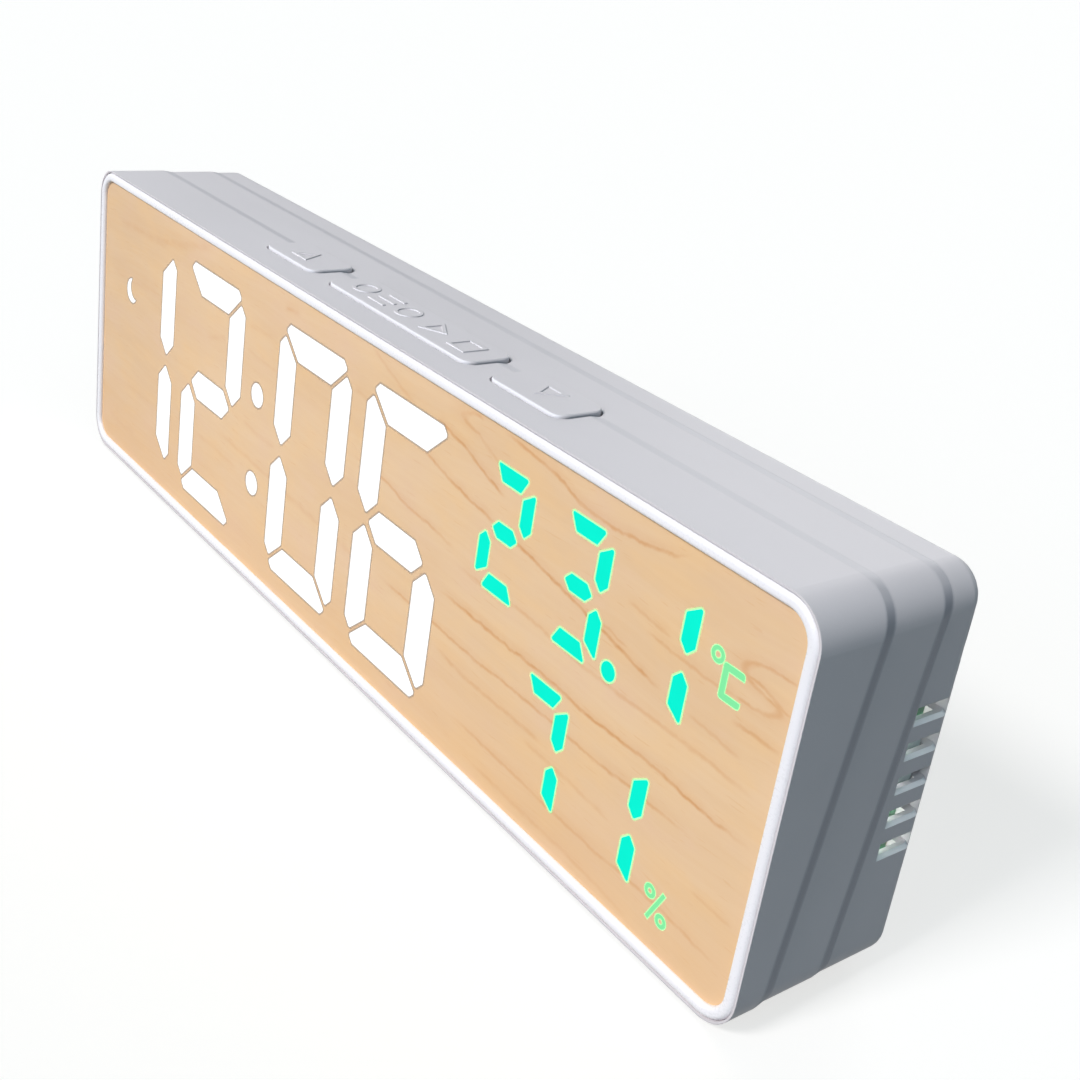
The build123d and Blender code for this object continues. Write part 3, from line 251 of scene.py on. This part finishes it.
def metal(name, colour, roughness, brushed=(1.0, 1.0, 1.0)):
    """Plated or rolled metal with fine marks from its making, stretched by brushed."""
    s = Shader(name)
    marks = s.noise(1800.0, 3.0, 0.6, s.scaled(*brushed))
    dull = s.noise(220.0, 4.0, 0.6)
    tint = s.mix(s.span(dull, 0.35, 0.75), colour, shade(colour, 0.86))
    rough = s.span(marks, 0.3, 0.7, roughness - 0.06, roughness + 0.08)
    s.surface(Base_Color=tint, Metallic=1.0, Roughness=rough, Normal=s.bump(marks, 0.000002, 0.7))
    return s.material


def rubber(name, colour, roughness=0.75):
    """Rubber, foam or a wire's jacket: matt, finely pitted and a little patchy."""
    s = Shader(name)
    fine = s.noise(2600.0, 3.0, 0.65)
    patch = s.noise(160.0, 3.0, 0.6)
    tint = s.mix(s.span(patch, 0.3, 0.7), colour, shade(colour, 1.5))
    s.surface(Base_Color=tint, Roughness=s.span(fine, 0.3, 0.7, roughness - 0.08, roughness + 0.08),
              Normal=s.bump(fine, 0.00001, 0.8))
    return s.material


def glow(name, colour, base, signs=None):
    """A lit window: a milky film with light behind it, a little uneven as a diffuser makes it.

    Thin strokes pass less of the light, so the unit signs at the right take a paler colour.
    """
    s = Shader(name)
    cloud = s.noise(240.0, 2.0, 0.5)
    lit = s.mix(s.span(cloud, 0.3, 0.7), shade(colour, 0.97), colour)
    if signs:
        x, _, z = s.split()
        upper = s.mul(s.math("GREATER_THAN", x, UPPER_SIGN), s.math("GREATER_THAN", z, FACE_MIDDLE))
        lower = s.mul(s.math("GREATER_THAN", x, LOWER_SIGN), s.math("LESS_THAN", z, FACE_MIDDLE))
        lit = s.mix(s.math("MAXIMUM", upper, lower), lit, signs)
    s.surface(Base_Color=base, Roughness=s.span(cloud, 0.3, 0.7, 0.3, 0.38), Emission_Color=lit,
              Emission_Strength=1.0, Normal=s.bump(s.noise(2400.0), 0.000003, 0.5),
              Specular_IOR_Level=0.0)
    return s.material


def board(name, colour):
    """A circuit board: solder mask over faint copper runs, with small bare pads."""
    s = Shader(name)
    z = s.split()[2]
    swayed = s.add(z, s.mul(s.noise(90.0, 1.0), 0.004))
    across_run = s.mul(s.math("PINGPONG", swayed, COPPER_HALF_PITCH), 900.0)
    runs = s.span(across_run, 0.35, 0.5, smooth=True)
    cell = s.node("ShaderNodeTexVoronoi", feature="F1", distance="CHEBYCHEV")
    s.link(s.coords, cell.inputs["Vector"])
    cell.inputs["Scale"].default_value = 330.0
    pad = s.math("LESS_THAN", cell.outputs["Distance"], 0.16)
    mask = s.mix(runs, shade(colour, 0.72), shade(colour, 1.25))
    tint = s.mix(pad, mask, srgb(196, 190, 168))
    fine = s.noise(1900.0, 2.0)
    height = s.add(s.mul(runs, 0.5), s.add(pad, s.mul(fine, 0.1)))
    s.surface(Base_Color=tint, Roughness=s.span(fine, 0.3, 0.7, 0.3, 0.42),
              Normal=s.bump(height, 0.00003, 0.8))
    return s.material


# The drawn grain, in millimetres from the middle of the face: how strong, how wide, then the places
# that the line passes through from left to right.
GRAIN = (
    (0.22, 0.9, (-88.0, 19.5), (-80.0, 20.0), (-68.0, 20.6), (-61.0, 22.0), (-53.0, 23.8),
     (-46.0, 25.2)),
    (0.35, 0.5, (-21.0, 22.9), (-18.5, 23.5), (-15.5, 23.5)),
    (0.16, 0.6, (-48.0, 9.2), (-44.0, 10.4), (-40.0, 11.6)),
    (0.16, 0.5, (-33.0, 12.3), (-27.0, 12.0), (-21.0, 12.2)),
    (0.16, 0.5, (-33.0, 16.4), (-28.0, 16.9), (-22.0, 17.3)),
    (0.20, 0.5, (-33.0, -0.4), (-27.0, -0.9), (-20.0, -0.8)),
    (0.24, 0.5, (-43.0, -5.8), (-33.0, -6.3), (-22.0, -6.7), (-12.0, -7.2), (2.0, -7.7),
     (9.0, -7.6)),
    (0.16, 0.6, (-50.0, -9.6), (-42.0, -9.4), (-33.0, -9.9)),
    (0.14, 0.8, (-90.0, -20.6), (-84.0, -20.9), (-76.0, -20.2)),
    (0.12, 0.8, (-90.0, -12.6), (-78.0, -11.6), (-68.0, -11.9)),
    (0.14, 0.8, (-90.0, 9.2), (-80.0, 9.6), (-67.0, 10.6)),
    (0.18, 0.5, (1.5, 18.0), (4.0, 17.8), (7.5, 17.4)),
    (0.30, 0.4, (5.0, 25.6), (9.0, 24.3), (13.0, 22.9), (18.5, 21.6)),
    (0.85, 0.33, (23.0, 21.6), (27.0, 20.8), (32.0, 19.6), (36.0, 18.2), (41.0, 17.0)),
    (0.80, 0.33, (20.0, 15.9), (24.0, 15.2), (29.0, 14.1), (34.0, 13.3), (40.0, 12.6)),
    (0.95, 0.34, (41.0, 12.4), (45.5, 11.8), (51.0, 11.0), (56.0, 10.1), (60.5, 9.2), (64.0, 8.7),
     (69.0, 7.7), (74.5, 6.9)),
    (0.55, 0.33, (3.0, 7.7), (14.0, 7.2), (18.0, 6.3), (24.0, 5.9), (31.5, 5.2)),
    (0.45, 0.33, (58.0, 9.9), (63.0, 9.7), (68.0, 9.0)),
    (0.45, 0.40, (31.0, 3.3), (38.0, 3.0), (46.0, 3.6), (51.0, 3.4), (58.0, 2.8), (68.0, 2.7),
     (79.0, 2.9), (92.0, 2.6)),
    (0.90, 0.33, (28.0, -2.2), (36.0, -2.4), (44.0, -2.6), (51.0, -2.5), (58.0, -2.8),
     (63.0, -3.1), (70.0, -2.9), (76.0, -2.8), (81.0, -3.3), (92.5, -3.5)),
    (0.65, 0.33, (11.0, -7.6), (22.0, -7.9), (30.0, -7.9), (36.0, -8.1), (48.0, -7.9),
     (58.0, -7.9), (65.0, -8.1), (72.0, -7.8), (84.0, -7.7)),
    (0.45, 0.45, (29.0, -11.1), (36.0, -11.7), (43.0, -11.9), (52.0, -11.8), (56.0, -12.1)),
    (0.30, 0.40, (50.0, -13.6), (60.0, -13.8), (70.0, -14.2)),
    (0.55, 0.36, (34.0, -19.2), (44.0, -19.4), (53.0, -19.7), (60.0, -19.9), (68.0, -20.0),
     (76.0, -19.6), (85.0, -20.1), (92.5, -20.5)),
    (0.38, 0.45, (40.0, -23.6), (55.0, -23.7), (68.0, -24.1), (77.0, -25.0)),
    (0.30, 0.40, (32.0, 23.2), (36.0, 21.8), (41.0, 20.3)),
    (0.75, 0.34, (38.0, 25.4), (45.5, 24.7), (50.5, 23.9), (54.5, 22.7), (58.5, 22.2),
     (63.0, 22.3), (68.0, 22.9), (72.0, 23.6), (75.0, 24.9)),
    (0.40, 0.33, (65.5, 14.8), (70.0, 14.4), (74.5, 13.9)),
    (0.50, 0.33, (69.5, 12.7), (75.0, 12.4), (81.0, 12.3), (86.0, 12.5)),
    (0.60, 0.34, (84.5, 9.5), (89.0, 9.6), (93.0, 9.8)),
    (0.35, 0.33, (78.0, 6.6), (83.0, 6.3), (88.0, 5.8)),
    (0.30, 0.33, (84.0, -14.0), (92.0, -14.3)),
)
# Rounded turns of the grain: strength, width, middle, half length, half height, and the stretch
# that is drawn, in half lengths from the middle.
TURNS = (
    (0.50, 0.36, (33.8, 24.2), 4.3, 1.2, (-9.0, 0.1)),
    (0.60, 0.34, (91.5, 16.4), 6.2, 1.9, (-9.0, 0.3)),
    (0.60, 0.34, (86.0, 14.1), 5.2, 1.6, (-0.3, 9.0)),
)
HALF_RUN, HALF_RISE = 100.0, 40.0  # millimetres that a grain line's curve covers each way


def wood_face(name):
    """Light maple, printed on a satin film: long thin grain lines over an almost even ground."""
    s = Shader(name)
    x, _, z = s.split()
    across = s.mul(x, MM_PER_METRE)
    up = s.mul(s.sub(z, FACE_MIDDLE), MM_PER_METRE)

    def streaks(detail, roughness, run, place, rise, height):
        """Noise that changes by run along the face and by rise up it. place sets it apart."""
        spot = s.join(s.mul(across, run), place, s.mul(height, rise))
        return s.noise(1.0, detail, roughness, spot)

    def stroke(distance, width, strength):
        """A line with a sharp core, and a soft shade on its upper side as cut fibres leave."""
        core = s.span(s.math("ABSOLUTE", distance), 0.0, width * 1.5, 1.0, 0.0, smooth=True)
        above = s.math("GREATER_THAN", distance, 0.0)
        soft = s.mul(s.span(distance, 0.0, width * 4.5, 0.34, 0.0), above)
        return s.mul(s.math("MAXIMUM", core, soft), strength)

    def window(value, first, last, fade):
        """1 between first and last, fading inside both ends."""
        return s.mul(s.span(value, first, first + fade, smooth=True),
                     s.span(value, last - fade, last, 1.0, 0.0, smooth=True))

    drift = streaks(2.0, 0.5, 0.020, 0.0, 0.045, up)
    shake = streaks(3.0, 0.6, 0.45, 3.7, 0.30, up)
    level = s.add(up, s.add(s.mul(s.sub(drift, 0.5), 7.0), s.mul(across, -0.02)))
    wobble = s.add(up, s.mul(s.sub(shake, 0.5), 0.85))
    patch = s.span(streaks(2.0, 0.6, 0.30, 9.1, 0.5, up), 0.36, 0.58, 0.62, 1.0, smooth=True)
    share = s.math("DIVIDE", s.add(across, HALF_RUN), 2 * HALF_RUN)

    drawn = 0.0
    for strength, width, *places in GRAIN:
        curve = s.node("ShaderNodeFloatCurve")
        line = curve.mapping.curves[0]
        stops = [((px + HALF_RUN) / (2 * HALF_RUN), (pz + HALF_RISE) / (2 * HALF_RISE))
                 for px, pz in places]
        line.points[0].location = (0.0, stops[0][1])
        line.points[1].location = (1.0, stops[-1][1])
        for stop in stops:
            line.points.new(*stop)
        curve.mapping.update()
        s.link(share, curve.inputs["Value"])
        path = s.sub(s.mul(curve.outputs[0], 2 * HALF_RISE), HALF_RISE)
        first, last = places[0][0], places[-1][0]
        shown = window(across, first, last, (last - first) * 0.12 + 0.8)
        mark = s.mul(stroke(s.sub(wobble, path), width, strength), shown)
        drawn = s.math("MAXIMUM", mark, drawn)
    for strength, width, (mx, mz), half_x, half_z, (low, high) in TURNS:
        u = s.math("DIVIDE", s.sub(across, mx), half_x)
        v = s.math("DIVIDE", s.sub(wobble, mz), half_z)
        reach = s.math("SQRT", s.add(s.mul(u, u), s.mul(v, v)))
        gap = s.mul(s.sub(reach, 1.0), half_z * 1.3)
        mark = s.mul(stroke(gap, width, strength), window(u, low, high, 0.25))
        drawn = s.math("MAXIMUM", mark, drawn)
    drawn = s.mul(drawn, patch)

    fibre = streaks(3.0, 0.6, 0.09, 1.3, 1.6, level)
    dash = streaks(1.0, 0.5, 0.24, 5.9, 2.6, level)
    broad = streaks(2.0, 0.5, 0.022, 7.7, 0.14, level)
    cloud = streaks(3.0, 0.55, 0.075, 2.2, 0.16, up)
    ground = s.mix(s.span(broad, 0.30, 0.70, smooth=True), srgb(241, 204, 163), srgb(237, 198, 155))
    # Each wash: the pattern, where it starts and is full, a soft start or not, strength, colour.
    washes = (
        (cloud, 0.46, 0.72, True, 0.55, srgb(244, 202, 150)),
        (cloud, 0.50, 0.26, True, 0.50, srgb(238, 200, 168)),
        (fibre, 0.45, 0.78, False, 0.10, srgb(228, 180, 132)),
        (fibre, 0.50, 0.24, False, 0.08, srgb(246, 216, 182)),
        (dash, 0.665, 0.74, True, 0.22, srgb(226, 170, 116)),
    )
    for pattern, start, full, smooth, strength, colour in washes:
        amount = s.mul(s.span(pattern, start, full, smooth=smooth), strength)
        ground = s.mix(amount, ground, colour)
    ground = s.mix(s.mul(drawn, 0.80), ground, srgb(216, 146, 82))
    left_shade = s.span(across, -40.0, -92.0, 0.0, 0.09, smooth=True)
    ground = s.mix(left_shade, ground, srgb(120, 84, 50))
    lower_warmth = s.span(up, -6.0, -26.0, 0.0, 0.32, smooth=True)
    ground = s.mix(lower_warmth, ground, srgb(234, 184, 132))
    relief = s.add(s.mul(fibre, 0.6), s.mul(s.noise(2400.0, 2.0), 0.4))
    s.surface(Base_Color=ground, Roughness=s.span(fibre, 0.3, 0.7, 0.44, 0.54),
              Normal=s.bump(relief, 0.000005, 0.5), Specular_IOR_Level=0.3)
    return s.material


def fading(name, colour, opacity, strength=0.0):
    """The soft margin round a lit window, which fades outwards by the mesh's own attribute."""
    s = Shader(name)
    fade = s.node("ShaderNodeAttribute", attribute_name="fade").outputs["Fac"]
    weight = s.mul(s.mul(fade, opacity), s.span(s.noise(900.0, 2.0), 0.3, 0.7, 0.88, 1.0))
    lit = {"Emission_Color": colour, "Emission_Strength": strength} if strength else {}
    s.surface(Base_Color=colour, Roughness=0.6, Alpha=weight, **lit)
    return s.material


shell = plastic("housing_satin", srgb(221, 215, 217), 0.45, level=0.12, steps=True)
housing = plastic("door_satin", srgb(213, 208, 211), 0.45, level=0.12)
# The keys' front walls are painted lighter, as if lit from the front.
key = plastic("key_satin", srgb(219, 213, 215), 0.45, level=0.12, painted_wall_light=srgb(238, 236, 240))
rim = plastic("frame_gloss", srgb(250, 247, 250), 0.28, depth=0.000003, mottle=0.01, edge=0.0001,
              coat=0.3)
white_resin = plastic("white_resin", srgb(232, 232, 228), 0.5)
milky = plastic("milky_resin", srgb(226, 228, 224), 0.35)
black_resin = plastic("black_resin", srgb(38, 38, 40), 0.5, mottle=0.15)
mask_green = board("board_green", srgb(92, 150, 116))
bright = metal("bright_can", (0.80, 0.80, 0.81), 0.25)
nickel = metal("nickel_plate", (0.72, 0.70, 0.66), 0.28, (1.0, 0.15, 1.0))
zinc = metal("zinc_screw", (0.62, 0.63, 0.64), 0.3)
jacket = rubber("lead_jacket", srgb(150, 40, 36), 0.5)
MATERIALS = {
    # outside
    "front_housing": shell, "rear_cover": shell, "battery_door": housing,
    "left_key": key, "centre_key": key, "right_key": key,
    "front_frame": rim,
    "rubber_feet": rubber("foot_rubber", srgb(52, 52, 54)),
    # the display
    "wood_film": wood_face("maple_film"),
    "time_windows": glow("lit_white", srgb(255, 255, 255), srgb(120, 120, 120)),
    "climate_windows": glow("lit_cyan", srgb(14, 248, 217), srgb(0, 6, 6), srgb(136, 240, 168)),
    "clear_panel": milky, "display_foam": rubber("black_foam", srgb(30, 30, 31), 0.9),
    "display_reflector": white_resin, "time_diffusers": milky, "climate_diffusers": milky,
    "led_chips": plastic("chip_resin", srgb(236, 214, 120), 0.25),
    # boards and what is on them
    "main_board": mask_green, "power_board": mask_green, "sensor_board": mask_green,
    "clock_chip": black_resin, "driver_chip": black_resin, "chip_resistors": black_resin,
    "buzzer": black_resin, "quartz_crystal": bright, "supply_capacitor": bright,
    "lead_headers": plastic("connector_resin", srgb(220, 216, 200), 0.45),
    "key_switches": black_resin, "left_plunger": white_resin, "centre_plunger": white_resin,
    "right_plunger": white_resin,
    "air_sensor": plastic("sensor_resin", srgb(226, 234, 229), 0.5),
    # power, leads and screws
    "power_inlet": nickel, "inlet_insulator": black_resin, "battery_contacts": nickel,
    "battery_cells": plastic("cell_sleeve", srgb(96, 104, 116), 0.3, coat=0.4),
    "sensor_leads": jacket, "power_leads": jacket, "battery_leads": jacket,
    "board_screws": zinc, "cover_screws": zinc,
}

for name, node in NODES.items():
    if node.material_slots:
        for material_slot in node.material_slots:
            material_slot.material = MATERIALS[name]
    else:
        node.data.materials.append(MATERIALS[name])


# ---- soft margins of the lit windows -----------------------------------------------------------

MARGIN_GAP = 0.00001  # how far a margin lies in front of its windows
THIN_SHARE = 0.5  # share of a margin's width that the thin strokes of the unit signs get
MITRE_FLOOR = 0.5  # keeps the mitre of a sharp corner short
SAME_PLACE, SAME_DEPTH = 1e-6, 1e-5  # distances that count as none


def mesh_object(name, mesh):
    """A new object in the scene from a bmesh, which is freed."""
    data = bpy.data.meshes.new(name)
    mesh.to_mesh(data)
    mesh.free()
    made = bpy.data.objects.new(name, data)
    bpy.context.scene.collection.objects.link(made)
    return made


def window_outlines(shape, front):
    """The outlines of a node's lit windows, whose faces lie at the depth front.

    Returns the outlines' edges as pairs of vertices, and each vertex's outward directions.
    """
    lit = {f for f in shape.faces
           if f.normal.y < -0.9 and abs(f.calc_center_median().y - front) < SAME_DEPTH}
    edges, outward = [], {}
    for edge in shape.edges:
        near = [f for f in edge.link_faces if f in lit]
        if len(near) != 1:
            continue
        a, b = edge.verts
        along = (b.co - a.co).normalized()
        away = Vector((along.z, 0.0, -along.x))
        if away.dot((a.co + b.co) / 2 - near[0].calc_center_median()) < 0:
            away = -away
        edges.append((a, b))
        for v in (a, b):
            outward.setdefault(v, []).append(away)
    return edges, outward


def window_margin(name, node, width, material):
    """A ring round each lit window of a node, just in front of it, with a fade attribute."""
    source = NODES[node].data
    front = min(v.co.y for v in source.vertices)
    shape = bmesh.new()
    shape.from_mesh(source)
    bmesh.ops.remove_doubles(shape, verts=shape.verts, dist=SAME_PLACE)
    edges, outward = window_outlines(shape, front)
    mesh = bmesh.new()
    layer = mesh.verts.layers.float.new("fade")
    inner, outer = {}, {}
    for v, away in outward.items():
        mitre = sum(away, Vector())
        mitre /= max(mitre.length_squared / len(away), MITRE_FLOOR)
        place = Vector((v.co.x, front - MARGIN_GAP, v.co.z))
        thin = v.co.x > (UPPER_SIGN if v.co.z > FACE_MIDDLE else LOWER_SIGN)
        inner[v] = mesh.verts.new(place)
        outer[v] = mesh.verts.new(place + mitre * width * (THIN_SHARE if thin else 1.0))
        inner[v][layer] = 1.0
        outer[v][layer] = 0.0
    for a, b in edges:
        mesh.faces.new((inner[a], inner[b], outer[b], outer[a]))
    mesh.normal_update()
    for f in mesh.faces:
        if f.normal.y > 0:
            f.normal_flip()
    shape.free()
    made = mesh_object(name, mesh)
    made.data.materials.append(material)
    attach(made, "clock_body")


# Painted shade: the grey-tan margin round the white windows stands in for the shade at the film's
# cut edges.
white_painted_shade = fading("margin_white_painted_shade", srgb(190, 180, 168), opacity=0.8)
cyan_fade = fading("margin_cyan", srgb(160, 244, 172), opacity=0.95, strength=0.75)
window_margin("time_window_painted_shade", "time_windows", 0.0004, white_painted_shade)
window_margin("climate_window_margin", "climate_windows", 0.00034, cyan_fade)


# ---- floor, light and camera -------------------------------------------------------------------

FLOOR_HALF_SIZE = 6.0
FLOOR_LIFT = 0.708  # emission that, with the lit grey, makes the floor white

grid = bmesh.new()
bmesh.ops.create_grid(grid, x_segments=8, y_segments=8, size=FLOOR_HALF_SIZE)
floor = mesh_object("floor", grid)

# The grey part takes the shadow, and an emission that lights nothing lifts the floor to white.
s = Shader("floor_paper")
rays = s.node("ShaderNodeLightPath").outputs
diffuse = s.node("ShaderNodeBsdfDiffuse")
grey = s.mix(rays["Is Diffuse Ray"], (0.363, 0.363, 0.363), (0.22, 0.22, 0.22))
s.link(grey, diffuse.inputs["Color"])
lift = s.node("ShaderNodeEmission")
s.link(rgba((1.0, 0.989, 0.965)), lift.inputs["Color"])
s.link(s.mul(s.seen(rays), FLOOR_LIFT), lift.inputs["Strength"])
both = s.node("ShaderNodeAddShader")
s.link(diffuse.outputs[0], both.inputs[0])
s.link(lift.outputs[0], both.inputs[1])
s.link(both.outputs[0], s.output.inputs["Surface"])
floor.data.materials.append(s.material)

world = bpy.data.worlds.new("studio")
bpy.context.scene.world = world
world.use_nodes = True
sky = Nodes(world.node_tree)
fill = sky.node("ShaderNodeBackground")
sky.link(rgba((0.68, 1.12, 1.42)), fill.inputs["Color"])
sky.link(0.12, fill.inputs["Strength"])
backdrop = sky.node("ShaderNodeBackground")
sky.link(rgba(WHITE), backdrop.inputs["Color"])
choice = sky.node("ShaderNodeMixShader")
sky.link(sky.seen(sky.node("ShaderNodeLightPath").outputs), choice.inputs[0])
sky.link(fill.outputs[0], choice.inputs[1])
sky.link(backdrop.outputs[0], choice.inputs[2])
sky.link(choice.outputs[0], sky.node("ShaderNodeOutputWorld").inputs["Surface"])


def lamp(name, toward, spread, strength, colour=WHITE):
    """A very large, far soft box: parallel light with a wide spread in degrees."""
    data = bpy.data.lights.new(name, "SUN")
    data.angle = math.radians(spread)
    data.energy = strength
    data.color = colour
    made = bpy.data.objects.new(name, data)
    made.rotation_euler = Vector(toward).to_track_quat("-Z", "Y").to_euler()
    made.location = -Vector(toward)
    bpy.context.scene.collection.objects.link(made)


lamp("key_light", (0.02, 0.75, -0.66), spread=14.0, strength=2.42, colour=(1.0, 0.965, 0.945))
lamp("front_fill", (-0.12, 0.92, -0.36), spread=30.0, strength=0.72, colour=(0.90, 1.0, 1.12))
lamp("back_light", (0.50, -0.82, -0.28), spread=30.0, strength=0.74)
lamp("corner_light", (-0.62, 0.15, -0.77), spread=30.0, strength=0.17, colour=(0.70, 1.05, 1.20))

# The lit display leaks a little light into the housing, beside the board behind the slots.
leak = bpy.data.lights.new("slot_leak", "AREA")
leak.shape = "RECTANGLE"
leak.size = 0.0007
leak.size_y = 0.0235
leak.energy = 0.0012
leak.color = (0.95, 1.0, 0.98)
leak_lamp = bpy.data.objects.new("slot_leak", leak)
leak_lamp.location = (0.09275, 0.0056, 0.0294)
leak_lamp.rotation_euler = Vector((0.0, 1.0, 0.0)).to_track_quat("-Z", "Z").to_euler()
bpy.context.scene.collection.objects.link(leak_lamp)

# The camera's place, turn and lens follow the photograph's viewing angle.
camera_data = bpy.data.cameras.new("camera")
camera = bpy.data.objects.new("camera", camera_data)
bpy.context.scene.collection.objects.link(camera)
bpy.context.scene.camera = camera
camera_data.sensor_width = 36.0
camera_data.lens = 48.675
camera_data.shift_x = -0.00026
camera_data.shift_y = -0.0607
camera_data.clip_start = 0.01
camera_data.clip_end = 50.0
forward = Vector((-0.7053, 0.5964, -0.3832)).normalized()
side = forward.cross(Vector((-0.3852, 0.1314, 0.9134))).normalized()
upward = side.cross(forward).normalized()
turn = Matrix((side, upward, -forward)).transposed()
camera.matrix_world = Matrix.Translation((0.17510, -0.12186, 0.12133)) @ turn.to_4x4()

bpy.context.scene.view_settings.view_transform = "Standard"
